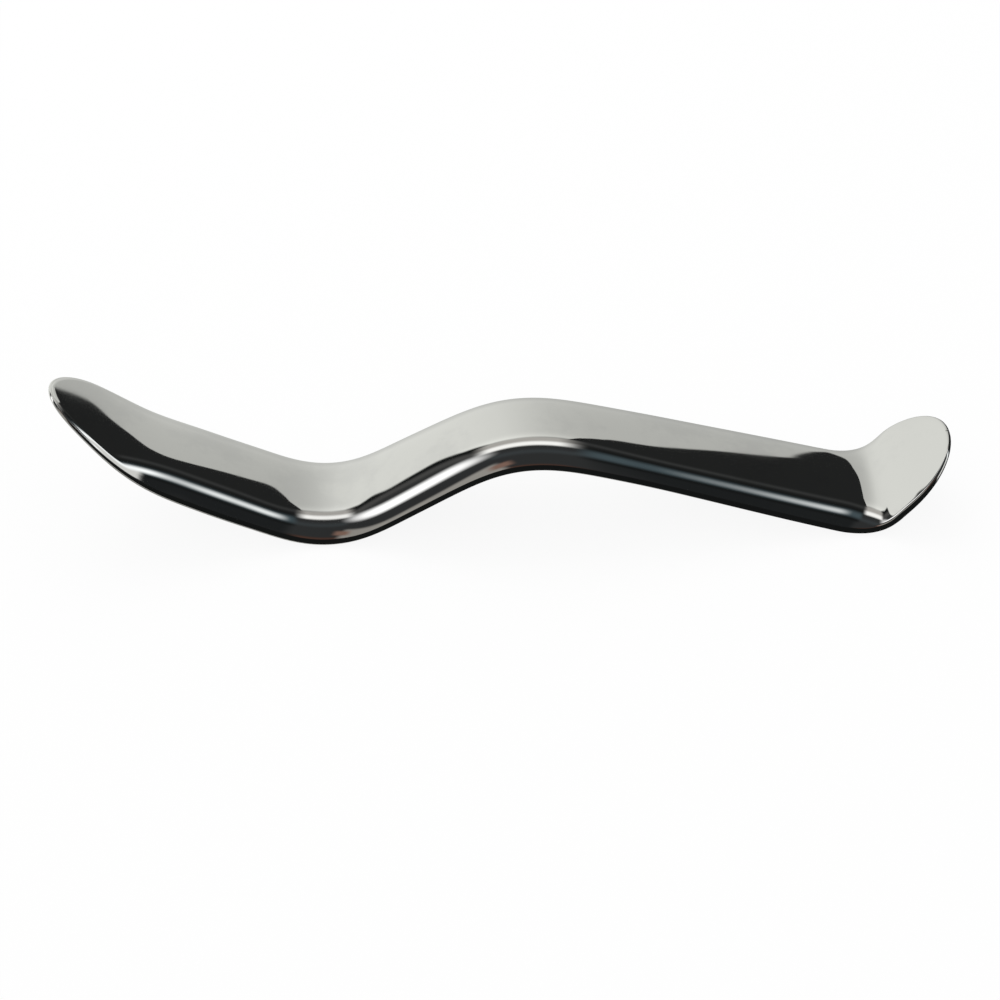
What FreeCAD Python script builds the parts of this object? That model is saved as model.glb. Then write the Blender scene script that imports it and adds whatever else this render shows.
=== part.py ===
"""Handheld surgical retractor: one strip of polished steel, bent along its length and arched across it.

The strip is laid out along its crown line, from the tip of the tongue blade to the tip of the spade blade.
At every station along that line it has a slope, a width, an arch and a thickness, and its edges are
rounded over the whole thickness. The finished strip lies convex side up, as it comes to rest on a
table: on its lower rims, at the valley bend and at the heel bend.

Millimetres and degrees. +X runs from the tongue to the spade, +Z is up, and the part mirrors in Y.
The origin is under the middle of the part, on the table.
"""
import FreeCAD
import Part
import math
import os

# Lengths of strip between the tips and the middles of the bends
TONGUE_LENGTH = 51.7
RISER_LENGTH = 34.7
HANDLE_LENGTH = 64.7
SPADE_LENGTH = 16.2

# Bends: how far each one turns the strip, and the length of strip it takes
VALLEY_ANGLE = 58.0
VALLEY_SPREAD = 25.7
CREST_ANGLE = 47.8
CREST_SPREAD = 38.6
HEEL_ANGLE = 63.2
HEEL_SPREAD = 9.1

# The tongue curls up towards its tip, and the spade eases back a little past the heel
CURL_ANGLE = 12.0
CURL_SPREAD = 19.0
CURL_FROM_TIP = 15.3
EASE_ANGLE = 5.0
EASE_SPREAD = 10.0
EASE_FROM_HEEL = 6.5

# Widths over the rims, and where one width runs into the next
TONGUE_WIDTH = 21.0
WAIST_WIDTH = 18.6
SPADE_WIDTH = 21.7
NARROWING_FROM_VALLEY = 22.4
NARROWING_SPREAD = 55.5
WIDENING_FROM_HEEL = -26.5
WIDENING_SPREAD = 68.8

# The tips: the length over which each outline closes, and how full its shoulders are
TONGUE_ROUNDING = 46.5
TONGUE_FULLNESS = 3.84
SPADE_ROUNDING = 12.3
SPADE_FULLNESS = 1.95

# Sheet thickness, thinned towards both tips
SHEET_THICKNESS = 1.6
TONGUE_TIP_THICKNESS = 1.0
TONGUE_THINNING = 36.0
SPADE_TIP_THICKNESS = 1.0
SPADE_THINNING = 14.0

# Arch across the strip: how far the sheet leans over at its rims, almost flat at both blades
ARCH_LEAN = 45.0
TONGUE_TIP_LEAN = 9.3
SPADE_LEAN = 11.0
TONGUE_ARCH_FROM_TIP = 14.2
TONGUE_ARCH_SPREAD = 25.3
SPADE_ARCH_FROM_HEEL = -0.8
SPADE_ARCH_SPREAD = 13.5
# Share of the lean that grows evenly from the crown; the rest gathers near the rims. On the tongue and
# round the crest bend the arch is rounder than elsewhere.
EVEN_LEAN = 0.45
TONGUE_EVEN_LEAN = 0.53
TONGUE_EVEN_END = 37.6
TONGUE_EVEN_RUN_OUT = 14.0
CREST_EVEN_LEAN = 0.62
CREST_REACH = 36.0
CREST_RUN_OUT = 24.0

# How finely the curves are followed
CROWN_STEP = 0.1
ARCH_STEPS = 60
SKIN_POINTS = 13
RIM_POINTS = 7
STATION_SPACING = 1.0
TIP_STATIONS = 18
TIP_REACH = 12.0
TIP_FACET = 0.02
LEVELLING_ROUNDS = 8

VALLEY = TONGUE_LENGTH
CREST = VALLEY + RISER_LENGTH
HEEL = CREST + HANDLE_LENGTH
STRIP_LENGTH = HEEL + SPADE_LENGTH


def step(u):
    """Return 0 before u = 0 and 1 after u = 1, with a smooth rise between: 6u^5 - 15u^4 + 10u^3."""
    u = min(max(u, 0.0), 1.0)
    return u * u * u * (u * (6.0 * u - 15.0) + 10.0)


def turned(s, middle, spread):
    """Return how much of a change is done at station s, for one centred on middle."""
    return step((s - middle) / spread + 0.5)


def slope(s, tip_slope):
    """Return the crown line's slope in degrees at station s, given its slope at the tongue's tip."""
    curl = CURL_ANGLE * turned(s, CURL_FROM_TIP, CURL_SPREAD)
    valley = VALLEY_ANGLE * turned(s, VALLEY, VALLEY_SPREAD)
    crest = CREST_ANGLE * turned(s, CREST, CREST_SPREAD)
    heel = HEEL_ANGLE * turned(s, HEEL, HEEL_SPREAD)
    ease = EASE_ANGLE * turned(s, HEEL + EASE_FROM_HEEL, EASE_SPREAD)
    return tip_slope + curl + valley - crest + heel - ease


def thickness(s):
    """Return the sheet's thickness at station s, closing to a rounded edge at both tips."""
    sheet = TONGUE_TIP_THICKNESS
    sheet += (SHEET_THICKNESS - TONGUE_TIP_THICKNESS) * step(s / TONGUE_THINNING)
    thinning = step((s - STRIP_LENGTH + SPADE_THINNING) / SPADE_THINNING)
    sheet -= (SHEET_THICKNESS - SPADE_TIP_THICKNESS) * thinning
    past_round = min(s, STRIP_LENGTH - s) / (sheet / 2.0)
    inset = max(1.0 - past_round, 0.0)
    return sheet * math.sqrt(1.0 - inset * inset)


def closing(from_tip, rounding, fullness):
    """Return the share of the full width at a distance from a tip: a superellipse over its rounding."""
    inset = max(1.0 - from_tip / rounding, 0.0)
    return math.sqrt(1.0 - inset ** fullness)


def half_width(s):
    """Return half the width over the rims at station s."""
    narrowing = turned(s, VALLEY + NARROWING_FROM_VALLEY, NARROWING_SPREAD)
    widening = turned(s, HEEL + WIDENING_FROM_HEEL, WIDENING_SPREAD)
    width = TONGUE_WIDTH - (TONGUE_WIDTH - WAIST_WIDTH) * narrowing + (SPADE_WIDTH - WAIST_WIDTH) * widening
    width *= closing(s, TONGUE_ROUNDING, TONGUE_FULLNESS)
    width *= closing(STRIP_LENGTH - s, SPADE_ROUNDING, SPADE_FULLNESS)
    return width / 2.0


def rim_lean(s):
    """Return how far the sheet leans over at its rims at station s, in degrees, down to 0 at both tips."""
    arching = turned(s, TONGUE_ARCH_FROM_TIP, TONGUE_ARCH_SPREAD)
    flattening = turned(s, HEEL + SPADE_ARCH_FROM_HEEL, SPADE_ARCH_SPREAD)
    tongue = TONGUE_TIP_LEAN * closing(s, TONGUE_ROUNDING, TONGUE_FULLNESS) * (1.0 - arching)
    spade = SPADE_LEAN * closing(STRIP_LENGTH - s, SPADE_ROUNDING, SPADE_FULLNESS) * flattening
    return tongue + ARCH_LEAN * (arching - flattening) + spade


def even_share(s):
    """Return the share of the lean at station s that grows evenly from the crown."""
    tongue = 1.0 - turned(s, TONGUE_EVEN_END, TONGUE_EVEN_RUN_OUT)
    crest = turned(s, CREST - CREST_REACH / 2.0, CREST_RUN_OUT)
    crest -= turned(s, CREST + CREST_REACH / 2.0, CREST_RUN_OUT)
    return EVEN_LEAN + (TONGUE_EVEN_LEAN - EVEN_LEAN) * tongue + (CREST_EVEN_LEAN - EVEN_LEAN) * crest


def lean(s, v):
    """Return the sheet's lean in radians at v, which runs from 0 at the crown to 1 at the rim."""
    even = even_share(s)
    return math.radians(rim_lean(s)) * (even * v + (1.0 - even) * v ** 3)


def half_arch(s):
    """Return ARCH_STEPS + 1 points (across, drop) of the middle surface, from the crown to one edge."""
    across = drop = 0.0
    points = [(across, drop)]
    for i in range(ARCH_STEPS):
        angle = lean(s, (i + 0.5) / ARCH_STEPS)
        across += math.cos(angle)
        drop += math.sin(angle)
        points.append((across, drop))
    reach = max(half_width(s) - thickness(s) / 2.0, 0.0)
    scale = reach / across
    return [(y * scale, z * scale) for y, z in points]


def crown_line(stations, tip_slope):
    """Return (x, z, slope in radians) of the crown line at each station."""
    points = []
    x = z = s = 0.0
    for station in stations:
        count = max(1, math.ceil((station - s) / CROWN_STEP))
        length = (station - s) / count
        for _ in range(count):
            angle = math.radians(slope(s + length / 2.0, tip_slope))
            x += length * math.cos(angle)
            z += length * math.sin(angle)
            s += length
        points.append((x, z, math.radians(slope(s, tip_slope))))
    return points


def strip_stations():
    """Return the stations along the strip, gathered towards both tips, where the outline turns fastest."""
    tip = [TIP_FACET + TIP_REACH * (i / TIP_STATIONS) ** 2 for i in range(TIP_STATIONS)]
    first = TIP_FACET + TIP_REACH
    last = STRIP_LENGTH - first
    count = math.ceil((last - first) / STATION_SPACING)
    middle = [first + (last - first) * i / count for i in range(count + 1)]
    return tip + middle + [STRIP_LENGTH - s for s in reversed(tip)]


def lowest_point(stations, line, first, last):
    """Return (x, z) of the lowest rim between two stations."""
    lows = []
    for s, (x, z, angle) in zip(stations, line):
        if first <= s <= last:
            drop = half_arch(s)[-1][1]
            lows.append((z - drop * math.cos(angle) - thickness(s) / 2.0, x + drop * math.sin(angle)))
    low_z, low_x = min(lows)
    return low_x, low_z


def resting_line(stations):
    """Return the crown line turned and raised so that both its low rims lie on the table."""
    tip_slope = 0.0
    for _ in range(LEVELLING_ROUNDS):
        line = crown_line(stations, tip_slope)
        valley_x, valley_z = lowest_point(stations, line, 0.0, CREST)
        heel_x, heel_z = lowest_point(stations, line, CREST, STRIP_LENGTH)
        tip_slope -= math.degrees(math.atan2(heel_z - valley_z, heel_x - valley_x))
    line = crown_line(stations, tip_slope)
    table = lowest_point(stations, line, 0.0, STRIP_LENGTH)[1]
    middle = (line[0][0] + line[-1][0]) / 2.0
    return [(x - middle, z - table, angle) for x, z, angle in line]


def section_outline(s):
    """Return the four edges of the section at station s, each a list of (across, up) points.

    They run on from each other: upper skin, right rim, lower skin and left rim. The skins lie half a
    thickness off the middle surface, and each rim is a half circle about that surface's edge.
    """
    arch = half_arch(s)
    half_sheet = thickness(s) / 2.0
    upper = []
    lower = []
    for i in range(SKIN_POINTS):
        v = 2.0 * i / (SKIN_POINTS - 1) - 1.0
        across, drop = arch[round(abs(v) * ARCH_STEPS)]
        angle = math.copysign(lean(s, abs(v)), v)
        middle = (math.copysign(across, v), -drop)
        offset = (half_sheet * math.sin(angle), half_sheet * math.cos(angle))
        upper.append((middle[0] + offset[0], middle[1] + offset[1]))
        lower.append((middle[0] - offset[0], middle[1] - offset[1]))
    edge_across, edge_drop = arch[-1]
    edge_lean = lean(s, 1.0)
    right = []
    for i in range(RIM_POINTS):
        around = edge_lean + math.pi * i / (RIM_POINTS - 1)
        across = edge_across + half_sheet * math.sin(around)
        right.append((across, half_sheet * math.cos(around) - edge_drop))
    left = [(-y, z) for y, z in reversed(right)]
    return [upper, right, lower[::-1], left]


def section_wire(s, place):
    """Return the closed wire of the section at station s, square to the crown line."""
    x, z, angle = place
    edges = []
    for points in section_outline(s):
        places = []
        for across, up in points:
            places.append(FreeCAD.Vector(x - up * math.sin(angle), across, z + up * math.cos(angle)))
        even = [i / (len(places) - 1) for i in range(len(places))]
        curve = Part.BSplineCurve()
        curve.interpolate(Points=places, Parameters=even)
        edges.append(curve.toShape())
    return Part.Wire(edges)


def retractor():
    """Return the whole retractor as one solid, lofted through its sections."""
    stations = strip_stations()
    line = resting_line(stations)
    wires = [section_wire(s, place) for s, place in zip(stations, line)]
    return Part.makeLoft(wires, True, False)


os.makedirs("parts", exist_ok=True)
retractor().exportStep("parts/retractor.step")
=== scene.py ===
"""Handheld surgical retractor: the looks of the polished strip, and the studio that it lies in.

The strip is one closed mesh, worked out in numpy from the same named sizes as the solid it stands for:
a crown line bent in the XZ plane, a sheet arched across it, and rims rounded over the whole thickness.
Metres and radians. +X runs from the tongue to the spade, +Z is up, and the table is at Z = 0.
"""

import math

import bmesh
import bpy
import numpy as np
from bpy.props import FloatProperty, FloatVectorProperty, IntProperty, PointerProperty
from mathutils import Matrix, Vector


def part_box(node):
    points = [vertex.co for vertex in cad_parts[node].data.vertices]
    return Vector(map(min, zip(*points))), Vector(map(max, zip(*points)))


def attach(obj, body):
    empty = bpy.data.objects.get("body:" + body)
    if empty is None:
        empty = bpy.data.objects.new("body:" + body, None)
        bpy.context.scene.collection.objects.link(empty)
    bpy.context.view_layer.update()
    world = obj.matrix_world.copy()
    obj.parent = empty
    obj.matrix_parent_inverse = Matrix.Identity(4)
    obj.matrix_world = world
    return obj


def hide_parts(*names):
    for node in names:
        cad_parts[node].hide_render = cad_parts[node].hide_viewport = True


bl_info = {
    "name": "Surgical retractor",
    "version": (1, 0, 0),
    "blender": (4, 5, 0),
    "location": "View3D > Sidebar > Retractor",
    "description": "Builds a polished one-piece retractor and a studio round it",
    "category": "Add Mesh",
}

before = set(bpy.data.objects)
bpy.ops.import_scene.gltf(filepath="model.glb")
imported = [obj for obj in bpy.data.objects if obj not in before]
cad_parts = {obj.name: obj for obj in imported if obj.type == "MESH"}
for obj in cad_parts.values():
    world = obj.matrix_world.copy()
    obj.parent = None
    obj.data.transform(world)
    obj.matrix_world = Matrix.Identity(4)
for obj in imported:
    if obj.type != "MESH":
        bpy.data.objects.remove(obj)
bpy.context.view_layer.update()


def length(name, text, default):
    """Return a length in metres for a property group."""
    return FloatProperty(name=name, description=text, default=default, precision=5, unit="LENGTH",
                         subtype="DISTANCE")


def angle(name, text, degrees):
    """Return an angle for a property group, given in degrees."""
    return FloatProperty(name=name, description=text, default=math.radians(degrees), unit="ROTATION",
                         subtype="ANGLE")


def share(name, text, default):
    """Return a plain number for a property group."""
    return FloatProperty(name=name, description=text, default=default, precision=4)


def colour(name, text, default):
    """Return a linear RGB colour for a property group."""
    return FloatVectorProperty(name=name, description=text, default=default, size=3, subtype="COLOR",
                               min=0.0, soft_max=1.0)


class RetractorSizes(bpy.types.PropertyGroup):
    """Sizes of the strip, the same as the solid's."""

    tongue_length: length("Tongue", "Strip from the tongue's tip to the middle of the valley bend", 0.0517)
    riser_length: length("Riser", "Strip from the valley bend to the crest bend", 0.0347)
    handle_length: length("Handle", "Strip from the crest bend to the heel bend", 0.0647)
    spade_length: length("Spade", "Strip from the heel bend to the spade's tip", 0.0162)

    valley_angle: angle("Valley bend", "How far the valley bend turns the strip up", 58.0)
    valley_spread: length("Valley spread", "Length of strip the valley bend takes", 0.0257)
    crest_angle: angle("Crest bend", "How far the crest bend turns the strip down", 47.8)
    crest_spread: length("Crest spread", "Length of strip the crest bend takes", 0.0386)
    heel_angle: angle("Heel bend", "How far the heel bend turns the strip up", 63.2)
    heel_spread: length("Heel spread", "Length of strip the heel bend takes", 0.0091)
    curl_angle: angle("Tongue curl", "How far the tongue curls up towards its tip", 12.0)
    curl_spread: length("Curl spread", "Length of strip the curl takes", 0.019)
    curl_from_tip: length("Curl from tip", "Middle of the curl, from the tongue's tip", 0.0153)
    ease_angle: angle("Spade ease", "How far the spade eases back past the heel", 5.0)
    ease_spread: length("Ease spread", "Length of strip the easing takes", 0.010)
    ease_from_heel: length("Ease from heel", "Middle of the easing, from the heel", 0.0065)

    tongue_width: length("Tongue width", "Full width over the tongue's rims", 0.021)
    waist_width: length("Waist width", "Full width over the handle's rims", 0.0186)
    spade_width: length("Spade width", "Full width over the spade's rims", 0.0217)
    narrowing_from_valley: length("Narrowing", "Middle of the narrowing, from the valley", 0.0224)
    narrowing_spread: length("Narrowing spread", "Length of strip the narrowing takes", 0.0555)
    widening_from_heel: length("Widening", "Middle of the widening, from the heel", -0.0265)
    widening_spread: length("Widening spread", "Length of strip the widening takes", 0.0688)
    tongue_rounding: length("Tongue rounding", "Length over which the tongue's outline closes", 0.0465)
    tongue_fullness: share("Tongue fullness", "How full the tongue's shoulders are", 3.84)
    spade_rounding: length("Spade rounding", "Length over which the spade's outline closes", 0.0123)
    spade_fullness: share("Spade fullness", "How full the spade's shoulders are", 1.95)

    sheet: length("Sheet", "Thickness of the sheet", 0.0016)
    tongue_tip_sheet: length("Tongue tip sheet", "Thickness at the tongue's tip", 0.001)
    tongue_thinning: length("Tongue thinning", "Length over which the tongue thins", 0.036)
    spade_tip_sheet: length("Spade tip sheet", "Thickness at the spade's tip", 0.001)
    spade_thinning: length("Spade thinning", "Length over which the spade thins", 0.014)

    arch_lean: angle("Arch lean", "How far the sheet leans over at its rims", 45.0)
    tongue_tip_lean: angle("Tongue lean", "Lean at the rims of the tongue's end", 9.3)
    spade_lean: angle("Spade lean", "Lean at the rims of the spade", 11.0)
    tongue_arch_from_tip: length("Tongue arch", "Middle of the arch's growth, from the tip", 0.0142)
    tongue_arch_spread: length("Tongue arch spread", "Length over which the arch grows", 0.0253)
    spade_arch_from_heel: length("Spade arch", "Middle of the arch's flattening, from the heel", -0.0008)
    spade_arch_spread: length("Spade arch spread", "Length over which the arch flattens", 0.0135)
    even_lean: share("Even lean", "Share of the lean that grows evenly from the crown", 0.45)
    tongue_even_lean: share("Tongue even lean", "The same share on the tongue", 0.53)
    tongue_even_end: length("Tongue even end", "Where that share has half run out, from the tip", 0.0376)
    tongue_even_run_out: length("Tongue even run-out", "Length over which it runs out", 0.014)
    crest_even_lean: share("Crest even lean", "The same share round the crest bend", 0.62)
    crest_reach: length("Crest reach", "Length of strip with the crest's rounder arch", 0.036)
    crest_run_out: length("Crest run-out", "Length over which that arch comes and goes", 0.024)

    easing_width: length("Edge easing", "Width of the blades' eased upper edges", 0.0007)
    tongue_easing: length("Tongue easing", "How far it lowers the upper skin at the tongue's rim", 0.0002)
    spade_easing: length("Spade easing", "How far it lowers the upper skin at the spade's rim", 0.00002)
    easing_end: length("Easing end", "Where the tongue's easing has half run out, from the tip", 0.013)
    easing_run_out: length("Easing run-out", "Length over which the tongue's easing runs out", 0.010)
    spade_easing_start: length("Spade easing start", "Where the spade's easing has half come, from the heel",
                               0.002)
    spade_easing_run_in: length("Spade easing run-in", "Length over which the spade's easing comes", 0.006)

    tip_reach: length("Tip reach", "Length at each tip where the rows are gathered", 0.012)
    tip_rows: IntProperty(name="Tip rows", description="Rows in each tip's reach", default=64)
    middle_rows: IntProperty(name="Middle rows", description="Rows between the two reaches", default=400)
    upper_columns: IntProperty(name="Upper columns", description="Columns across the upper skin", default=84)
    lower_columns: IntProperty(name="Lower columns", description="Columns across the lower skin", default=36)
    rim_columns: IntProperty(name="Rim columns", description="Columns round each rim", default=13)


class SteelLook(bpy.types.PropertyGroup):
    """Colour and finish of the polished steel."""

    steel: colour("Steel", "Colour of the polished steel", (0.70, 0.695, 0.68))
    film: colour("Film", "Colour of the steel where handling left a thin film", (0.655, 0.65, 0.64))
    gloss: share("Polish roughness", "Roughness of the clean polished steel", 0.035)
    film_gloss: share("Film roughness", "Roughness where handling left a film", 0.06)
    swell: length("Swell", "Height of the long, faint swells that hand polishing leaves", 0.000012)
    hairline: length("Hairlines", "Depth of the finest polishing lines", 0.0000004)


class StudioLook(bpy.types.PropertyGroup):
    """Camera and light, as far as a user would change them."""

    camera_azimuth: angle("Camera azimuth", "Camera to the left of square on", 3.261)
    camera_elevation: angle("Camera elevation", "Camera above the table", 38.676)
    camera_roll: angle("Camera roll", "Turn of the picture", 0.798)
    camera_distance: length("Camera distance", "Camera to the point it is aimed at", 0.39789)
    camera_aim: FloatVectorProperty(name="Camera aim", description="Point the camera is aimed at",
                                    default=(0.0001, 0.0, 0.014), size=3, subtype="TRANSLATION",
                                    unit="LENGTH", precision=5)
    lens: FloatProperty(name="Lens", description="Focal length in millimetres", default=84.44)
    shift_x: share("Shift X", "Sideways shift of the lens", -0.00798)
    shift_y: share("Shift Y", "Upward shift of the lens", -0.0604)
    surround_radius: length("Surround radius", "Distance of the sweep, lamps and dark cards", 0.85)
    far_radius: length("Far radius", "Distance of the lamp seen past the surround's open side", 20.0)
    floor_size: length("Floor", "Side of the pale floor", 6.0)
    floor_own_white: share("Floor's own white", "Share of the floor's look that is its own white", 0.9)


# Shape of the strip

# Power of the eased edge's profile, a little over 1 so that it starts without a crease
EASING_POWER = 1.2
# Least slope of the outline's measure, per metre, where the crown runs level and far from any edge
LEAST_STEEPNESS = 1e-6
# Steps across half the arch from which the columns are picked, and how strongly they gather at the rims
ARCH_STEPS = 1500
UPPER_GATHER = 1.3
LOWER_GATHER = 1.15


def rise(u):
    """0 before u = 0 and 1 after u = 1, with a smooth rise between: six u to the fifth, less fifteen
    u to the fourth, plus ten u cubed."""
    u = np.clip(u, 0.0, 1.0)
    return u ** 3 * (u * (6.0 * u - 15.0) + 10.0)


def turned(s, middle, spread):
    """How much of a change is done at station s, for one centred on middle and as long as spread."""
    return rise((s - middle) / spread + 0.5)


def landmarks(size):
    """Stations of the valley bend, the crest bend, the heel bend and the spade's tip."""
    valley = size.tongue_length
    crest = valley + size.riser_length
    heel = crest + size.handle_length
    return valley, crest, heel, heel + size.spade_length


def slope(size, s, tip_slope):
    """Slope of the crown line at s: the slope at the tongue's tip, plus each bend's angle times how
    much of that bend is done."""
    valley, crest, heel, _ = landmarks(size)
    total = tip_slope + size.curl_angle * turned(s, size.curl_from_tip, size.curl_spread)
    total = total + size.valley_angle * turned(s, valley, size.valley_spread)
    total = total - size.crest_angle * turned(s, crest, size.crest_spread)
    total = total + size.heel_angle * turned(s, heel, size.heel_spread)
    return total - size.ease_angle * turned(s, heel + size.ease_from_heel, size.ease_spread)


def crown_line(size, s, tip_slope):
    """Place (x, z) of the crown line at stations s: the running sums of the slope's cosine and sine
    over many short steps."""
    end = landmarks(size)[3]
    fine = np.linspace(0.0, end, 16001)
    middle = slope(size, (fine[1:] + fine[:-1]) / 2.0, tip_slope)
    step = fine[1] - fine[0]
    x = np.concatenate([[0.0], np.cumsum(np.cos(middle)) * step])
    z = np.concatenate([[0.0], np.cumsum(np.sin(middle)) * step])
    return np.interp(s, fine, x), np.interp(s, fine, z)


def sheet_thickness(size, s):
    """Thickness of the sheet at s: the full sheet, thinned by a smooth rise towards each tip."""
    end = landmarks(size)[3]
    near = rise(s / size.tongue_thinning)
    far = rise((s - end + size.spade_thinning) / size.spade_thinning)
    return (size.tongue_tip_sheet + (size.sheet - size.tongue_tip_sheet) * near
            - (size.sheet - size.spade_tip_sheet) * far)


def closing(from_tip, rounding, fullness):
    """Share of the full width at a distance from a tip: the root of one less the inset to the power
    of the fullness, where the inset falls from 1 at the tip to 0 at the end of the rounding."""
    inset = np.clip(1.0 - from_tip / rounding, 0.0, 1.0)
    return np.sqrt(1.0 - inset ** fullness)


def closings(size, s, inset=0.0):
    """Both tips' closings at s, for an outline that lies inset inside the strip's own."""
    end = landmarks(size)[3]
    tongue = closing(s - inset, size.tongue_rounding - inset, size.tongue_fullness)
    spade = closing(end - inset - s, size.spade_rounding - inset, size.spade_fullness)
    return tongue, spade


def full_width(size, s):
    """Width over the rims at s before the tips close it: the tongue's, narrowed to the waist's and
    widened to the spade's."""
    valley, _, heel, _ = landmarks(size)
    narrowing = turned(s, valley + size.narrowing_from_valley, size.narrowing_spread)
    widening = turned(s, heel + size.widening_from_heel, size.widening_spread)
    return (size.tongue_width - (size.tongue_width - size.waist_width) * narrowing
            + (size.spade_width - size.waist_width) * widening)


def easing_at_rim(size, s):
    """How far the upper edge is eased down at the rim at s: on both blades, and not between."""
    heel = landmarks(size)[2]
    tongue = 1.0 - turned(s, size.easing_end, size.easing_run_out)
    spade = turned(s, heel + size.spade_easing_start, size.spade_easing_run_in)
    return size.tongue_easing * tongue + size.spade_easing * spade


def rim_radius(size, s):
    """Radius of the rim's half circle at s: half of what the easing leaves of the sheet."""
    return (sheet_thickness(size, s) - easing_at_rim(size, s)) / 2.0


def middle_reach(size, s):
    """Half the width of the middle surface at s: half the strip's width less the rim's radius, times
    both closings of an outline that radius inside the strip's own."""
    radius = rim_radius(size, s)
    tongue, spade = closings(size, s, radius)
    return (full_width(size, s) / 2.0 - radius) * tongue * spade


def from_outline(size, s, v):
    """Distance from the strip's outline at s and v: the outline is where a tip's inset to its fullness
    plus the square of v times the closing comes to 1, and what is short of 1 is divided by its slope."""
    end = landmarks(size)[3]
    slopes = 0.0
    for reach, rounding, fullness in ((s, size.tongue_rounding, size.tongue_fullness),
                                      (end - s, size.spade_rounding, size.spade_fullness)):
        inset = np.clip(1.0 - reach / rounding, 0.0, 1.0)
        slopes = slopes + fullness * inset ** (fullness - 1.0) / rounding
    tongue, spade = closings(size, s)
    closed = (tongue * spade)[:, None]
    sideways = 4.0 * v * closed / full_width(size, s)[:, None]
    steepness = np.maximum(np.hypot(slopes[:, None], sideways), LEAST_STEEPNESS)
    return closed ** 2 * (1.0 - v ** 2) / steepness


def eased(size, s, v):
    """How far the upper skin is eased down at s and v: the easing at the rim, times one less the
    distance from the outline over the easing's width, to a power a little over 1."""
    left = np.clip(1.0 - from_outline(size, s, v) / size.easing_width, 0.0, 1.0)
    return easing_at_rim(size, s)[:, None] * left ** EASING_POWER


def rim_lean(size, s):
    """Lean of the sheet at its rims at s: small at both blades and 0 at their very tips, full between."""
    heel = landmarks(size)[2]
    arching = turned(s, size.tongue_arch_from_tip, size.tongue_arch_spread)
    flattening = turned(s, heel + size.spade_arch_from_heel, size.spade_arch_spread)
    tongue, spade = closings(size, s)
    return (size.tongue_tip_lean * tongue * (1.0 - arching) + size.arch_lean * (arching - flattening)
            + size.spade_lean * spade * flattening)


def even_share(size, s):
    """Share of the lean at s that grows evenly from the crown, higher on the tongue and round the crest."""
    crest = landmarks(size)[1]
    tongue = 1.0 - turned(s, size.tongue_even_end, size.tongue_even_run_out)
    before = turned(s, crest - size.crest_reach / 2.0, size.crest_run_out)
    after = turned(s, crest + size.crest_reach / 2.0, size.crest_run_out)
    return (size.even_lean + (size.tongue_even_lean - size.even_lean) * tongue
            + (size.crest_even_lean - size.even_lean) * (before - after))


def sheet_lean(size, s, v):
    """Lean at s and v, from 0 at the crown to 1 at the rim: the rim's lean times the even share of v
    plus the rest of v cubed."""
    even = even_share(size, s)[:, None]
    return rim_lean(size, s)[:, None] * (even * v + (1.0 - even) * v ** 3)


def half_arch(size, s, steps=600):
    """Across and drop of the middle surface at s, from the crown to one edge in equal steps of v: the
    running sums of the lean's cosine and sine, scaled so that the edge is at the middle surface's reach."""
    v = (np.arange(steps) + 0.5)[None, :] / steps
    leans = sheet_lean(size, s, v)
    start = np.zeros((len(s), 1))
    across = np.concatenate([start, np.cumsum(np.cos(leans), axis=1)], axis=1)
    drop = np.concatenate([start, np.cumsum(np.sin(leans), axis=1)], axis=1)
    scale = (middle_reach(size, s) / across[:, -1])[:, None]
    return across * scale, drop * scale


def resting_slope(size):
    """Slope at the tongue's tip that lays the rims of the valley bend and of the heel bend on the
    table, with the height of those rims and the middle of the part, both from the tongue's tip."""
    crest, end = landmarks(size)[1], landmarks(size)[3]
    s = np.linspace(0.001, end - 0.001, 3000)
    drop = half_arch(size, s, 60)[1][:, -1]
    tip_slope = 0.0
    for _ in range(12):
        x, z = crown_line(size, s, tip_slope)
        lean = slope(size, s, tip_slope)
        low_z = z - drop * np.cos(lean) - sheet_thickness(size, s) / 2.0
        low_x = x + drop * np.sin(lean)
        front = np.argmin(np.where(s < crest, low_z, 1.0))
        back = np.argmin(np.where(s >= crest, low_z, 1.0))
        tip_slope -= math.atan2(low_z[back] - low_z[front], low_x[back] - low_x[front])
    ends = crown_line(size, np.array([0.0, end]), tip_slope)[0]
    return tip_slope, float(low_z.min()), float(ends.mean())


def unit(vectors):
    """Each vector over its own length."""
    return vectors / np.maximum(np.linalg.norm(vectors, axis=-1, keepdims=True), 1e-15)


def strip_rows(size):
    """Stations of the rows, from one end of the middle surface to the other: by the square of the row's
    number within each tip's reach, and even between."""
    end = landmarks(size)[3]
    first, last = rim_radius(size, np.array([0.0, end]))
    gathered = size.tip_reach * (np.arange(size.tip_rows) / size.tip_rows) ** 2
    middle = np.linspace(first + size.tip_reach, end - last - size.tip_reach, size.middle_rows)
    return np.concatenate([first + gathered, middle, end - last - gathered[::-1]])


def across_steps(columns, steps, gather):
    """Whole steps from the crown of the columns across a skin, by a sine, so that they gather at the rims."""
    spread = np.linspace(-gather, gather, columns + 1)
    return np.round(np.sin(spread) / math.sin(gather) * steps).astype(int)


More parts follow.
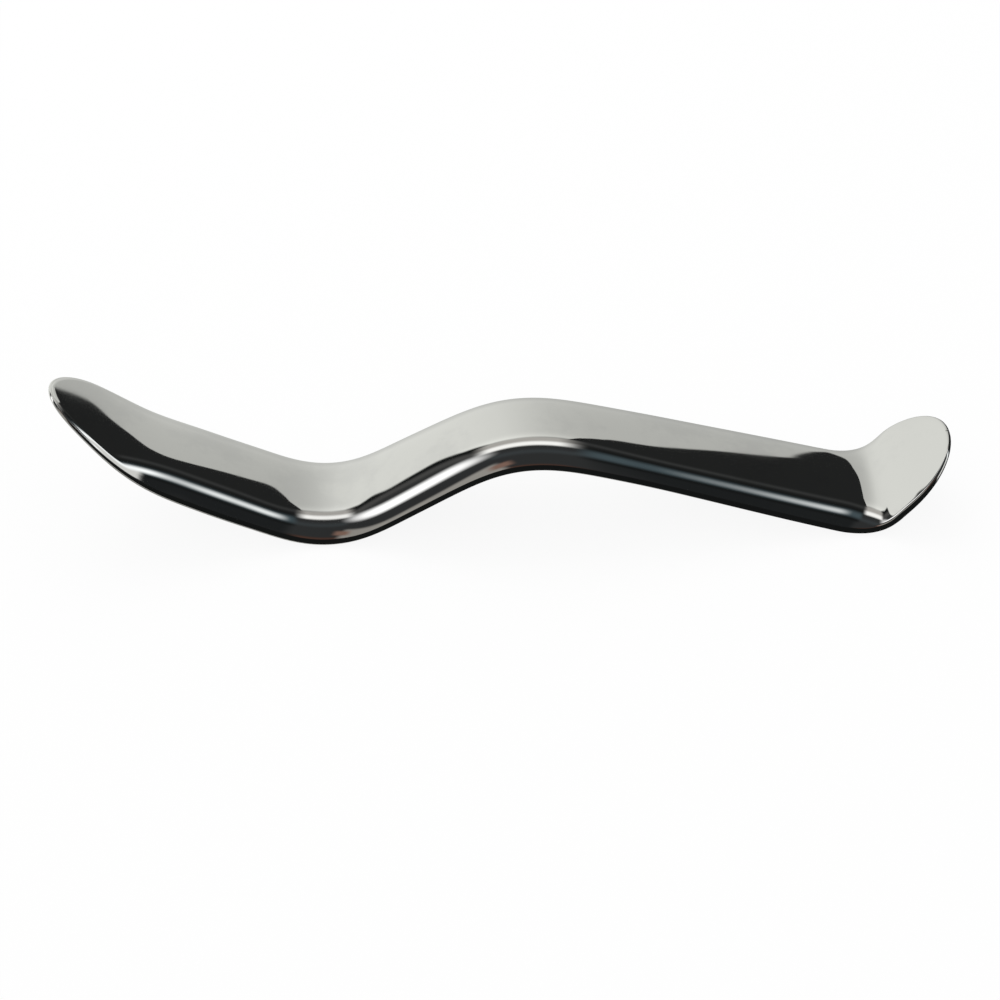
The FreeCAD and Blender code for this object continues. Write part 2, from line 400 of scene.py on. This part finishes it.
def strip_grid(size):
    """Points of the closed strip, one ring a row, and each point's place along and round it.

    The middle surface is the crown line's point, plus across times Y, less drop times the crown line's
    normal. Both skins lie half a thickness off it along its own normal, the upper one less its easing.
    Each rim is a half circle that joins them, in the plane of the normal and the outward side.
    """
    s = strip_rows(size)
    tip_slope, table, middle_x = resting_slope(size)
    x, z = crown_line(size, s, tip_slope)
    lean = slope(size, s, tip_slope)
    zero = np.zeros_like(s)
    crown = np.stack([x - middle_x, zero, z - table], axis=-1)
    crown_normal = np.stack([-np.sin(lean), zero, np.cos(lean)], axis=-1)
    y_axis = np.array([0.0, 1.0, 0.0])
    arch_across, arch_drop = half_arch(size, s, ARCH_STEPS)

    def middle_surface(pick):
        v = pick / ARCH_STEPS
        across = np.sign(v) * arch_across[:, abs(pick)]
        drop = arch_drop[:, abs(pick)]
        leans = np.sign(v) * sheet_lean(size, s, abs(v)[None, :])
        sheet = crown[:, None] + across[..., None] * y_axis - drop[..., None] * crown_normal[:, None]
        along = np.gradient(sheet, axis=0, edge_order=2)
        side = np.cos(leans)[..., None] * y_axis - np.sin(leans)[..., None] * crown_normal[:, None]
        normal = unit(np.cross(along, side))
        normal[[0, -1]] = crown_normal[[0, -1], None]
        return sheet, normal, along

    half = (sheet_thickness(size, s) / 2.0)[:, None]
    pick = across_steps(size.upper_columns, ARCH_STEPS, UPPER_GATHER)
    sheet, normal, along = middle_surface(pick)
    v = abs(pick) / ARCH_STEPS
    upper = sheet + (half - eased(size, s, v[None, :]))[..., None] * normal

    edge_run = unit(along[:, [0, -1]])
    edge_run[0] = [-y_axis, y_axis]
    edge_run[-1] = [y_axis, -y_axis]
    outward = unit(np.cross(normal[:, [0, -1]], edge_run)) * np.array([-1.0, 1.0])[None, :, None]
    radius = rim_radius(size, s)[:, None, None]
    sunk = (easing_at_rim(size, s) / 2.0)[:, None, None]
    turn = np.linspace(0.0, math.pi, size.rim_columns + 2)[1:-1]
    around = np.stack([np.cos(turn), np.sin(turn)])
    rims = []
    for k in (0, -1):
        ring = around[0][None, :, None] * normal[:, None, k] + around[1][None, :, None] * outward[:, None, k]
        rims.append(sheet[:, None, k] - sunk * normal[:, None, k] + radius * ring)

    sheet, normal, _ = middle_surface(across_steps(size.lower_columns, ARCH_STEPS, LOWER_GATHER))
    lower = sheet - half[..., None] * normal
    points = np.concatenate([upper, rims[1], lower[:, ::-1], rims[0][:, ::-1]], axis=1)
    rows, columns = points.shape[:2]
    steps_round = np.linalg.norm(np.diff(points, axis=1, append=points[:, :1]), axis=-1)
    place_round = np.concatenate([np.zeros((rows, 1)), np.cumsum(steps_round, axis=1)], axis=1)
    place_round = place_round - place_round[:, [size.upper_columns // 2]]
    rim_mask = np.concatenate([v ** 24, np.ones(len(turn)), np.zeros(lower.shape[1]), np.ones(len(turn))])
    return points, s, place_round, np.broadcast_to(rim_mask, (rows, columns))


def grid_faces(rows, columns):
    """Quads of a grid of rings closed round, with their faces outward."""
    row = np.arange(rows - 1)[:, None] * columns
    here = np.arange(columns)[None, :]
    after = (here + 1) % columns
    return np.stack([row + here, row + columns + here, row + columns + after, row + after],
                    axis=-1).reshape(-1, 4)


def mesh_from(name, points, faces):
    """A mesh of points and quads, set as whole arrays."""
    mesh = bpy.data.meshes.new(name)
    mesh.vertices.add(len(points))
    mesh.vertices.foreach_set("co", points.astype(np.float32).ravel())
    mesh.loops.add(faces.size)
    mesh.loops.foreach_set("vertex_index", faces.astype(np.int32).ravel())
    mesh.polygons.add(len(faces))
    mesh.polygons.foreach_set("loop_start", np.arange(0, faces.size, 4, dtype=np.int32))
    mesh.update(calc_edges=True)
    return mesh


def close_tips(mesh):
    """Joins the points of the first and the last ring that lie in one place, and drops what that
    leaves without area."""
    work = bmesh.new()
    work.from_mesh(mesh)
    bmesh.ops.remove_doubles(work, verts=work.verts, dist=2e-7)
    bmesh.ops.dissolve_degenerate(work, edges=work.edges, dist=5e-8)
    open_edges = sum(1 for edge in work.edges if not edge.is_manifold)
    if open_edges:
        raise RuntimeError(f"the strip has {open_edges} open edges")
    work.to_mesh(mesh)
    work.free()


def strip_mesh(size):
    """The strip's mesh, with a UV map of four times the metres along and round it and a mask of its rims."""
    points, s, place_round, rim_mask = strip_grid(size)
    rows, columns = points.shape[:2]
    faces = grid_faces(rows, columns)
    mesh = mesh_from("retractor_strip", points.reshape(-1, 3), faces)
    corner_row = faces // columns
    corner_column = faces % columns
    wraps = (corner_column == 0) & (corner_column.max(axis=1, keepdims=True) == columns - 1)
    corner_column = np.where(wraps, columns, corner_column)
    uv = np.stack([s[corner_row], place_round[corner_row, corner_column]], axis=-1)
    mesh.uv_layers.new(name="strip").data.foreach_set("uv", (uv * 4.0).astype(np.float32).ravel())
    rim = mesh.attributes.new("rim", "FLOAT", "POINT")
    rim.data.foreach_set("value", rim_mask.astype(np.float32).ravel())
    close_tips(mesh)
    mesh.polygons.foreach_set("use_smooth", np.ones(len(mesh.polygons), dtype=bool))
    mesh.update()
    return mesh


# Shader nodes


def node(tree, kind, inputs=None, **settings):
    """Adds a node, sets it, and fills its inputs with values or with links from other sockets."""
    made = tree.nodes.new(kind)
    for key, value in settings.items():
        setattr(made, key, value)
    for key, value in (inputs or {}).items():
        if isinstance(value, bpy.types.NodeSocket):
            tree.links.new(value, made.inputs[key])
        else:
            made.inputs[key].default_value = value
    return made


def math_node(tree, operation, first, second=0.0, third=0.0, clamp=False):
    """One Math node's result."""
    made = node(tree, "ShaderNodeMath", {0: first, 1: second, 2: third}, operation=operation)
    made.use_clamp = clamp
    return made.outputs[0]


def smooth_range(tree, value, low, high, to_low=0.0, to_high=1.0):
    """Value carried smoothly from one range to another."""
    made = node(tree, "ShaderNodeMapRange", {"Value": value, "From Min": low, "From Max": high,
                                             "To Min": to_low, "To Max": to_high},
                interpolation_type="SMOOTHSTEP")
    return made.outputs["Result"]


def mixed(tree, share_of_second, first, second):
    """First colour mixed with the second by a share."""
    made = node(tree, "ShaderNodeMix", data_type="RGBA")
    for key, value in (("Factor_Float", share_of_second), ("A_Color", first), ("B_Color", second)):
        socket = next(one for one in made.inputs if one.identifier == key)
        if isinstance(value, bpy.types.NodeSocket):
            tree.links.new(value, socket)
        else:
            socket.default_value = value
    return next(one for one in made.outputs if one.identifier == "Result_Color")


def new_group(name, inputs, outputs):
    """A shader node group with named float or vector sockets, its tree, inputs and output node."""
    tree = bpy.data.node_groups.new(name, "ShaderNodeTree")
    for label, kind, default in inputs:
        socket = tree.interface.new_socket(name=label, in_out="INPUT", socket_type=kind)
        if default is not None:
            socket.default_value = default
    for label, kind in outputs:
        tree.interface.new_socket(name=label, in_out="OUTPUT", socket_type=kind)
    return tree, tree.nodes.new("NodeGroupInput").outputs, tree.nodes.new("NodeGroupOutput").inputs


def place_group(tree, group, inputs):
    """Puts a group into a tree and returns its outputs."""
    return node(tree, "ShaderNodeGroup", inputs, node_tree=group).outputs


def new_material(name):
    """An empty node material and its tree."""
    material = bpy.data.materials.new(name)
    material.use_nodes = True
    material.node_tree.nodes.clear()
    return material, material.node_tree


def polish_swell_group():
    """Long, faint swells of hand polishing, as a height from 0 to 1."""
    tree, given, result = new_group("Polish swell", [("Place", "NodeSocketVector", None),
                                                     ("Swell size", "NodeSocketFloat", 0.014)],
                                    [("Height", "NodeSocketFloat")])
    scale = math_node(tree, "DIVIDE", 1.0, given["Swell size"])
    noise = node(tree, "ShaderNodeTexNoise", {"Vector": given["Place"], "Scale": scale, "Detail": 1.0,
                                              "Roughness": 0.3})
    tree.links.new(noise.outputs["Fac"], result["Height"])
    return tree


def hairline_group():
    """Fine lines along the strip: noise stretched a hundred times along the UV map's first axis."""
    tree, given, result = new_group("Polish hairlines", [("Map", "NodeSocketVector", None),
                                                         ("Line spacing", "NodeSocketFloat", 0.0001)],
                                    [("Height", "NodeSocketFloat"), ("Mask", "NodeSocketFloat")])
    stretched = node(tree, "ShaderNodeVectorMath", {0: given["Map"], 1: (0.01, 1.0, 1.0)},
                     operation="MULTIPLY").outputs["Vector"]
    scale = math_node(tree, "DIVIDE", 0.25, given["Line spacing"])
    lines = node(tree, "ShaderNodeTexNoise", {"Vector": stretched, "Scale": scale, "Detail": 3.0,
                                              "Roughness": 0.6}).outputs["Fac"]
    tree.links.new(lines, result["Height"])
    patches = node(tree, "ShaderNodeTexNoise", {"Vector": given["Map"], "Scale": 22.0, "Detail": 2.0})
    found = smooth_range(tree, lines, 0.60, 0.72)
    where = smooth_range(tree, patches.outputs["Fac"], 0.45, 0.65)
    tree.links.new(math_node(tree, "MULTIPLY", found, where), result["Mask"])
    return tree


def handling_group():
    """Where fingers left a thin film: soft blotches broken up by finer ones, as a mask."""
    tree, given, result = new_group("Handling film", [("Place", "NodeSocketVector", None),
                                                      ("Blotch size", "NodeSocketFloat", 0.012)],
                                    [("Mask", "NodeSocketFloat")])
    scale = math_node(tree, "DIVIDE", 1.0, given["Blotch size"])
    broad = node(tree, "ShaderNodeTexNoise", {"Vector": given["Place"], "Scale": scale, "Detail": 2.0})
    fine_scale = math_node(tree, "MULTIPLY", scale, 7.0)
    fine = node(tree, "ShaderNodeTexNoise", {"Vector": given["Place"], "Scale": fine_scale, "Detail": 3.0})
    share_of_fine = math_node(tree, "MULTIPLY_ADD", fine.outputs["Fac"], 0.35, -0.175)
    total = math_node(tree, "ADD", broad.outputs["Fac"], share_of_fine)
    tree.links.new(smooth_range(tree, total, 0.42, 0.68), result["Mask"])
    return tree


def steel_material(look):
    """Mirror-polished steel: clean metal with a thin handling film in places, hairlines from the last
    polish, a faint swell in its reflections and rims a little duller than the skins."""
    material, tree = new_material("Mirror-polished steel")
    place = node(tree, "ShaderNodeTexCoord").outputs["Object"]
    strip_map = node(tree, "ShaderNodeUVMap", uv_map="strip").outputs["UV"]
    rim = node(tree, "ShaderNodeAttribute", attribute_name="rim").outputs["Fac"]
    swell = place_group(tree, polish_swell_group(), {"Place": place, "Swell size": 0.016})["Height"]
    hairlines = place_group(tree, hairline_group(), {"Map": strip_map, "Line spacing": 0.00012})
    film = place_group(tree, handling_group(), {"Place": place, "Blotch size": 0.013})["Mask"]

    dull = math_node(tree, "MAXIMUM", film, math_node(tree, "MULTIPLY", hairlines["Mask"], 0.8))
    tint = mixed(tree, dull, (*look.steel, 1.0), (*look.film, 1.0))
    gloss = math_node(tree, "MULTIPLY_ADD", dull, look.film_gloss - look.gloss, look.gloss)
    gloss = math_node(tree, "MULTIPLY_ADD", rim, 0.03, gloss)

    long_bump = node(tree, "ShaderNodeBump", {"Strength": 1.0, "Distance": look.swell, "Height": swell})
    line_bump = node(tree, "ShaderNodeBump", {"Strength": 1.0, "Distance": look.hairline,
                                              "Height": hairlines["Height"],
                                              "Normal": long_bump.outputs["Normal"]})
    steel = node(tree, "ShaderNodeBsdfPrincipled", {"Base Color": tint, "Metallic": 1.0,
                                                    "Roughness": gloss,
                                                    "Normal": line_bump.outputs["Normal"]})
    node(tree, "ShaderNodeOutputMaterial", {"Surface": steel.outputs["BSDF"]})
    return material


# Studio


def overhead_group():
    """Angles right of and behind the point straight overhead, in degrees, of a point of a surround."""
    tree, given, result = new_group("Overhead angles", [("Place", "NodeSocketVector", None)],
                                    [("Right", "NodeSocketFloat"), ("Back", "NodeSocketFloat")])
    towards = node(tree, "ShaderNodeVectorMath", {0: given["Place"]}, operation="NORMALIZE")
    axes = node(tree, "ShaderNodeSeparateXYZ", {"Vector": towards.outputs["Vector"]}).outputs
    from_top = math_node(tree, "DEGREES", math_node(tree, "ARCCOSINE", axes["Z"]))
    flat = math_node(tree, "SQRT", math_node(tree, "MAXIMUM", math_node(
        tree, "MULTIPLY_ADD", math_node(tree, "MULTIPLY", axes["Z"], axes["Z"]), -1.0, 1.0), 1e-6))
    each = math_node(tree, "DIVIDE", from_top, flat)
    tree.links.new(math_node(tree, "MULTIPLY", axes["X"], each), result["Right"])
    tree.links.new(math_node(tree, "MULTIPLY", axes["Y"], each), result["Back"])
    return tree


SOFT_SIZES = ("Middle right", "Middle back", "Width", "Depth", "Tilt", "Softness", "End softness")


def soft_group(name, oval):
    """A soft-edged panel or oval as a mask, from distances from its middle along its own tilted width
    and depth. A panel's are each taken from half its size. An oval's are taken over half its sizes, and
    their length's shortfall from 1 is used. Either runs smoothly from inside to outside."""
    tree, given, result = new_group(name, [(one, "NodeSocketFloat", 0.0) for one in
                                           ("Right", "Back") + SOFT_SIZES], [("Mask", "NodeSocketFloat")])
    across = math_node(tree, "SUBTRACT", given["Right"], given["Middle right"])
    along = math_node(tree, "SUBTRACT", given["Back"], given["Middle back"])
    tilt = math_node(tree, "RADIANS", given["Tilt"])
    cosine = math_node(tree, "COSINE", tilt)
    sine = math_node(tree, "SINE", tilt)
    over = math_node(tree, "MULTIPLY_ADD", across, cosine, math_node(tree, "MULTIPLY", along, sine))
    up = math_node(tree, "SUBTRACT", math_node(tree, "MULTIPLY", along, cosine),
                   math_node(tree, "MULTIPLY", across, sine))
    half_width = math_node(tree, "MULTIPLY", given["Width"], 0.5)
    half_depth = math_node(tree, "MULTIPLY", given["Depth"], 0.5)

    def inside(reach, softness):
        return smooth_range(tree, reach, math_node(tree, "MULTIPLY", softness, -1.0), softness)

    if oval:
        wide = math_node(tree, "DIVIDE", over, half_width)
        tall = math_node(tree, "DIVIDE", up, half_depth)
        radius = math_node(tree, "SQRT", math_node(tree, "MULTIPLY_ADD", wide, wide,
                                                   math_node(tree, "MULTIPLY", tall, tall)))
        short = math_node(tree, "SUBTRACT", 1.0, radius)
        mask = inside(math_node(tree, "MULTIPLY", short, half_depth), given["Softness"])
    else:
        sides = [math_node(tree, "SUBTRACT", half, math_node(tree, "ABSOLUTE", distance))
                 for half, distance in ((half_width, over), (half_depth, up))]
        mask = math_node(tree, "MULTIPLY", inside(sides[0], given["End softness"]),
                         inside(sides[1], given["Softness"]))
    tree.links.new(mask, result["Mask"])
    return tree


# Light of the surround where nothing hangs
DARK = (0.010, 0.011, 0.011)

# Each panel, a later one over an earlier: its middle to the right and to the back of straight overhead,
# its width, depth, tilt, softness and end softness in degrees, and its colour as light
PANELS = (
    ("dark front", (0, -13, 110, 52, 0, 5.0, 5.0), (0.036, 0.038, 0.039)),
    ("dark front right", (50, -23, 44, 34, 0, 4.0, 4.0), (0.017, 0.019, 0.020)),
    ("dim left", (-56, 13, 36, 16, -25, 3.0, 4.0), (0.040, 0.042, 0.042)),
    ("dim band", (4, -6.5, 62, 7, 0, 4.0, 4.0), (0.052, 0.060, 0.064)),
    ("low brown", (-2, -40, 50, 7, 0, 3.0, 6.0), (0.085, 0.046, 0.034)),
    ("grey front left", (-39, -41, 46, 23, 27, 3.5, 4.0), (0.38, 0.365, 0.34)),
    ("brown edge", (-19, -28, 14, 10, 20, 3.0, 4.0), (0.27, 0.165, 0.13)),
    ("left floor", (-95, -60, 60, 150, 0, 10.0, 10.0), (0.50, 0.50, 0.48)),
    ("dark side right", (115, 95, 182, 190, 0, 4.0, 4.0), (0.020, 0.021, 0.021)),
    ("dim side right", (36, 17, 26, 4, 0, 3.0, 3.0), (0.048, 0.050, 0.050)),
    ("grey side left", (-45, 18.5, 26, 6.5, -37, 2.5, 3.0), (0.080, 0.080, 0.078)),
    ("taupe gap", (-5, 15.5, 53, 8, 0, 1.5, 6.0), (0.53, 0.515, 0.49)),
    ("strip lamp", (-5, 9.0, 53, 7, 0, 2.2, 6.0), (1.3, 1.3, 1.28)),
)

# The same for the lamps with an oval outline
OVALS = (
    ("left lamp", (-62, 0.3, 58, 18, 0, 4.5, 4.5), (1.65, 1.66, 1.67)),
)

# The openings of the surround, as panels, and what is seen through them from far off
OPEN_SIDE = (60, -2, 68, 26, 0, 4.0, 4.0)
OPEN_LOW = (66, -28, 50, 50, 0, 3.0, 3.0)
FAR_PANELS = (
    ("far dusk", (60, -1, 90, 13, 0, 5.0, 5.0), (0.075, 0.105, 0.12)),
    ("far window", (65, -26, 42, 46, 0, 2.0, 2.0), (0.86, 0.87, 0.85)),
    ("far lamp", (60.8, -1.2, 50, 8, 0, 4.0, 5.5), (1.42, 1.47, 1.49)),
)

# The pale sweep: its right side against back angles, its front edge and its light against right angles,
# and how that light changes from its front edge to its back
SWEEP_RIGHT = ((8, 17), (12, 17.5), (16, 18.5), (20, 21), (24, 24), (27, 26.7), (31, 29.5), (36, 31.0),
               (40, 32.2), (46, 33.3), (50, 34.0), (53, 34.8), (55, 35.4), (57, 35.9), (59, 36.4),
               (61, 36.7), (66, 36.6), (80, 36.6), (86, 36.8), (92, 37.1), (150, 38.2))
SWEEP_FRONT = ((-110, 20), (-60, 23), (-54, 27), (-51, 30), (-49.5, 31.8), (-48, 32.2), (-46, 31),
               (-44, 28.5), (-39, 24.3), (-30, 21.5), (-25, 20), (-10, 19.5), (15, 20), (24, 20))
SWEEP_LIGHT = ((-60, 0.95), (-33, 0.93), (-15, 0.88), (-3, 0.80), (9, 0.715), (21, 0.65), (33, 0.605),
               (60, 0.48))
SWEEP_FADE = ((0, 1.2), (22, 1.2), (26, 1.06), (30, 1.0), (88, 1.0), (102, 0.84), (125, 0.66), (180, 0.55))
SWEEP_TINT = (0.985, 1.0, 0.96)


def soft_mask(tree, angles, group, limits):
    """The mask of one panel or oval in a tree."""
    given = dict(zip(SOFT_SIZES, (float(one) for one in limits)))
    return place_group(tree, group, {"Right": angles["Right"], "Back": angles["Back"], **given})["Mask"]


def laid_over(tree, angles, light, group, shapes):
    """Light with the shapes laid over it one after the other."""
    for _, limits, tone in shapes:
        light = mixed(tree, soft_mask(tree, angles, group, limits), light, (*tone, 1.0))
    return light


def surround_material(angle_group, panel, oval):
    """Light of the near surround: a pale sweep behind, dark cards and soft lamps, open at one side."""
    material, tree = new_material("Studio surround")
    place = node(tree, "ShaderNodeTexCoord").outputs["Object"]
    angles = place_group(tree, angle_group, {"Place": place})
    light = laid_over(tree, angles, (*DARK, 1.0), panel, PANELS)
    light = laid_over(tree, angles, light, oval, OVALS)
    light = mixed(tree, sweep_mask(tree, angles), light, sweep_light(tree, angles))
    lit = node(tree, "ShaderNodeEmission", {"Color": light, "Strength": 1.0})
    clear = node(tree, "ShaderNodeBsdfTransparent")
    opened = math_node(tree, "MAXIMUM", soft_mask(tree, angles, panel, OPEN_SIDE),
                       soft_mask(tree, angles, panel, OPEN_LOW))
    both = node(tree, "ShaderNodeMixShader", {"Fac": opened, 1: lit.outputs["Emission"],
                                              2: clear.outputs["BSDF"]})
    node(tree, "ShaderNodeOutputMaterial", {"Surface": both.outputs["Shader"]})
    return material


def far_material(angle_group, panel):
    """Light of what is far off: dusk with one soft lamp."""
    material, tree = new_material("Far lamp")
    place = node(tree, "ShaderNodeTexCoord").outputs["Object"]
    angles = place_group(tree, angle_group, {"Place": place})
    light = laid_over(tree, angles, (*DARK, 1.0), panel, FAR_PANELS)
    lit = node(tree, "ShaderNodeEmission", {"Color": light, "Strength": 1.0})
    node(tree, "ShaderNodeOutputMaterial", {"Surface": lit.outputs["Emission"]})
    return material


def drawn_curve(tree, value, points, low, high):
    """A curve drawn through points (degrees, value), its values lying between low and high."""
    turn = math_node(tree, "MULTIPLY_ADD", value, 1 / 360, 0.5)
    drawn = node(tree, "ShaderNodeFloatCurve", {"Value": turn})
    curve = drawn.mapping.curves[0]
    places = [(at / 360 + 0.5, (to - low) / (high - low)) for at, to in points]
    curve.points[0].location = (0.0, places[0][1])
    curve.points[1].location = (1.0, places[-1][1])
    for one in places:
        curve.points.new(*one)
    for one in curve.points:
        one.handle_type = "VECTOR"
    drawn.mapping.update()
    return math_node(tree, "MULTIPLY_ADD", drawn.outputs["Value"], high - low, low)


def sweep_mask(tree, angles):
    """Where the pale sweep is: left of its right side and behind its front edge, both drawn curves."""
    right_side = drawn_curve(tree, angles["Back"], SWEEP_RIGHT, -180.0, 180.0)
    front_edge = drawn_curve(tree, angles["Right"], SWEEP_FRONT, -180.0, 180.0)
    right = smooth_range(tree, math_node(tree, "SUBTRACT", right_side, angles["Right"]), -0.2, 0.2)
    front = smooth_range(tree, math_node(tree, "SUBTRACT", angles["Back"], front_edge), -2.0, 2.0)
    return math_node(tree, "MULTIPLY", right, front)


def sweep_light(tree, angles):
    """Light of the sweep: palest at the left and along its front edge, falling off to the right and
    past its back."""
    level = drawn_curve(tree, angles["Right"], SWEEP_LIGHT, 0.0, 1.0)
    fade = drawn_curve(tree, angles["Back"], SWEEP_FADE, 0.0, 1.3)
    return node(tree, "ShaderNodeVectorMath", {0: SWEEP_TINT, "Scale": math_node(
        tree, "MULTIPLY", level, fade)}, operation="SCALE").outputs["Vector"]


def surround(name, radius, middle, material):
    """A sphere about the middle of the part, seen in reflections only."""
    mesh = bpy.data.meshes.new(name)
    work = bmesh.new()
    bmesh.ops.create_uvsphere(work, u_segments=96, v_segments=48, radius=radius)
    work.to_mesh(mesh)
    work.free()
    mesh.materials.append(material)
    ball = bpy.data.objects.new(name, mesh)
    bpy.context.collection.objects.link(ball)
    ball.location = middle
    for ray in ("camera", "diffuse", "transmission", "shadow", "volume_scatter"):
        setattr(ball, f"visible_{ray}", False)


def seen_white(tree):
    """1 for rays from the camera and for reflected or transmitted ones, which see plain white."""
    path = node(tree, "ShaderNodeLightPath").outputs
    seen = math_node(tree, "ADD", path["Is Camera Ray"], path["Is Glossy Ray"])
    return math_node(tree, "ADD", seen, path["Is Transmission Ray"], clamp=True)


def floor_material(own_white):
    """Pale floor: a share of what is seen is its own white, and the shaded rest keeps a faint shadow."""
    material, tree = new_material("Pale floor")
    own = node(tree, "ShaderNodeEmission", {"Color": (1.0, 1.0, 1.0, 1.0), "Strength": 1.0})
    shaded = node(tree, "ShaderNodeBsdfDiffuse", {"Color": (0.92, 0.92, 0.92, 1.0)})
    both = node(tree, "ShaderNodeMixShader", {"Fac": math_node(tree, "MULTIPLY", seen_white(tree), own_white),
                                              1: shaded.outputs["BSDF"], 2: own.outputs["Emission"]})
    node(tree, "ShaderNodeOutputMaterial", {"Surface": both.outputs["Shader"]})
    return material


def floor(studio):
    """A flat square just under the rims."""
    half = studio.floor_size / 2.0
    corners = np.array([[-half, -half, 0], [half, -half, 0], [half, half, 0], [-half, half, 0]])
    corners[:, 2] = -0.00002
    mesh = mesh_from("studio_floor", corners, np.array([[0, 1, 2, 3]]))
    mesh.materials.append(floor_material(studio.floor_own_white))
    slab = bpy.data.objects.new("studio_floor", mesh)
    bpy.context.collection.objects.link(slab)
    slab.visible_glossy = False


def soft_lamp(name, place, target, side, power):
    """A square lamp that lights the floor and isn't seen in reflections."""
    data = bpy.data.lights.new(name, "AREA")
    data.shape = "SQUARE"
    data.size = side
    data.energy = power
    lamp = bpy.data.objects.new(name, data)
    bpy.context.collection.objects.link(lamp)
    aim = (Vector(target) - Vector(place)).to_track_quat("-Z", "Y").to_matrix().to_4x4()
    lamp.matrix_world = Matrix.Translation(place) @ aim
    lamp.visible_glossy = False


def white_world():
    """Plain white all round: full to the camera and to reflections, and a little less as light."""
    world = bpy.data.worlds.new("Plain studio")
    world.use_nodes = True
    tree = world.node_tree
    tree.nodes.clear()
    strength = math_node(tree, "MULTIPLY_ADD", seen_white(tree), 0.15, 0.85)
    lit = node(tree, "ShaderNodeBackground", {"Color": (1.0, 1.0, 1.0, 1.0), "Strength": strength})
    node(tree, "ShaderNodeOutputWorld", {"Surface": lit.outputs["Background"]})
    bpy.context.scene.world = world


def place_camera(studio):
    """Camera on a line to its aim: back along that line by its distance, turned by its roll."""
    turn, rise_angle, roll = studio.camera_azimuth, studio.camera_elevation, studio.camera_roll
    forward = Vector((math.sin(turn) * math.cos(rise_angle), math.cos(turn) * math.cos(rise_angle),
                      -math.sin(rise_angle)))
    right = Vector((math.cos(turn), -math.sin(turn), 0.0))
    up = right.cross(forward)
    rolled_right = math.cos(roll) * right + math.sin(roll) * up
    rolled_up = math.cos(roll) * up - math.sin(roll) * right
    data = bpy.data.cameras.new("studio_camera")
    data.lens = studio.lens
    data.sensor_width = 36.0
    data.shift_x = studio.shift_x
    data.shift_y = studio.shift_y
    data.clip_start = 0.01
    data.clip_end = 20.0
    camera = bpy.data.objects.new("studio_camera", data)
    bpy.context.collection.objects.link(camera)
    place = Vector(studio.camera_aim) - forward * studio.camera_distance
    turned_matrix = Matrix((rolled_right, rolled_up, -forward)).transposed().to_4x4()
    camera.matrix_world = Matrix.Translation(place) @ turned_matrix
    bpy.context.scene.camera = camera


class RETRACTOR_OT_forge_strip(bpy.types.Operator):
    """Builds the polished strip in place of the plain solid"""

    bl_idname = "retractor.forge_strip"
    bl_label = "Forge the strip"

    def execute(self, context):
        size = context.scene.retractor_sizes
        mesh = strip_mesh(size)
        mesh.materials.append(steel_material(context.scene.steel_look))
        strip = bpy.data.objects.new("retractor_strip", mesh)
        context.collection.objects.link(strip)
        points = np.empty(len(mesh.vertices) * 3, dtype=np.float32)
        mesh.vertices.foreach_get("co", points)
        points = points.reshape(-1, 3)
        off = np.abs(np.array([points.min(0), points.max(0)]) - np.array(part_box("retractor"))).max()
        if off > 0.0003:
            raise RuntimeError(f"the strip's box is {off * 1000:.2f} mm off the solid's")
        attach(strip, "root")
        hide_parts("retractor")
        return {"FINISHED"}


class RETRACTOR_OT_set_studio(bpy.types.Operator):
    """Sets the pale floor, the surround that the steel reflects, the lamps and the camera"""

    bl_idname = "retractor.set_studio"
    bl_label = "Set the studio"

    def execute(self, context):
        studio = context.scene.studio_look
        floor(studio)
        angles, panel, oval = overhead_group(), soft_group("Soft panel", False), soft_group("Soft oval", True)
        surround("studio_surround", studio.surround_radius, studio.camera_aim,
                 surround_material(angles, panel, oval))
        surround("studio_far", studio.far_radius, studio.camera_aim, far_material(angles, panel))
        white_world()
        soft_lamp("studio_lamp_back", (-0.25, 0.55, 0.9), (0, 0, 0), 0.7, 3.0)
        place_camera(studio)
        context.scene.view_settings.view_transform = "Standard"
        return {"FINISHED"}


class RETRACTOR_PT_parts(bpy.types.Panel):
    """Lists the sizes, the looks and the steps"""

    bl_label = "Retractor"
    bl_space_type = "VIEW_3D"
    bl_region_type = "UI"
    bl_category = "Retractor"

    def draw(self, context):
        scene = context.scene
        for group in (scene.retractor_sizes, scene.steel_look, scene.studio_look):
            box = self.layout.box()
            for name in group.bl_rna.properties.keys():
                if name not in ("rna_type", "name"):
                    box.prop(group, name)
        self.layout.operator(RETRACTOR_OT_forge_strip.bl_idname)
        self.layout.operator(RETRACTOR_OT_set_studio.bl_idname)


CLASSES = (RetractorSizes, SteelLook, StudioLook, RETRACTOR_OT_forge_strip, RETRACTOR_OT_set_studio,
           RETRACTOR_PT_parts)


def register():
    for one in CLASSES:
        bpy.utils.register_class(one)
    bpy.types.Scene.retractor_sizes = PointerProperty(type=RetractorSizes)
    bpy.types.Scene.steel_look = PointerProperty(type=SteelLook)
    bpy.types.Scene.studio_look = PointerProperty(type=StudioLook)


def unregister():
    del bpy.types.Scene.studio_look
    del bpy.types.Scene.steel_look
    del bpy.types.Scene.retractor_sizes
    for one in reversed(CLASSES):
        bpy.utils.unregister_class(one)


def main():
    register()
    bpy.ops.retractor.forge_strip()
    bpy.ops.retractor.set_studio()


if __name__ == "__main__":
    main()
